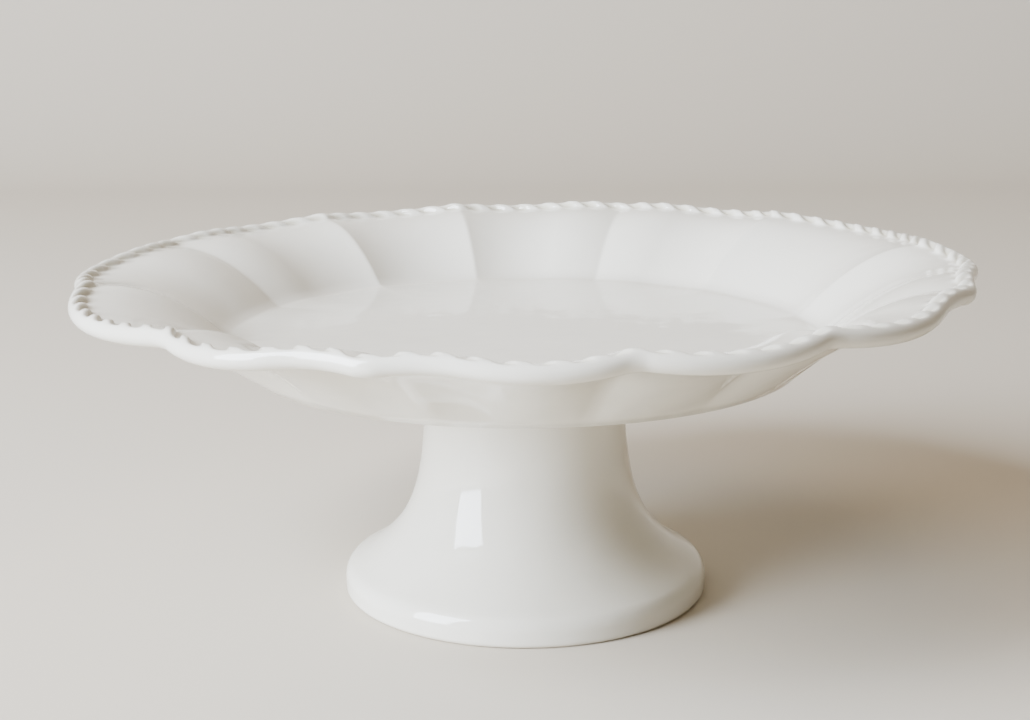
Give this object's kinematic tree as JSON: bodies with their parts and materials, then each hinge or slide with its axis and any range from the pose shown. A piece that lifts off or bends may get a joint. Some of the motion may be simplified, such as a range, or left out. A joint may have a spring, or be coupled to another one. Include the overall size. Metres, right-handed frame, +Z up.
{
  "type": "cake stand",
  "caption": "Footed cake stand in glazed ceramic: a fluted plate with a scalloped, beaded rolled rim, luted to a hollow pedestal that flares to a round foot.",
  "frame": {"origin": "centre of the foot, on the table", "axes": "+Z up along the pedestal, -Y towards the viewer, +X to the viewer's right"},
  "size_m": [0.3078, 0.308, 0.1176],
  "materials": {
    "plate": "gloss white glaze",
    "slip_ring": "gloss white glaze over slip",
    "pedestal": "gloss white glaze, bare along the bottom of the foot"
  },
  "bodies": {
    "root": {"plate": "plate", "slip_ring": "slip_ring", "pedestal": "pedestal"}
  },
  "joints": []
}
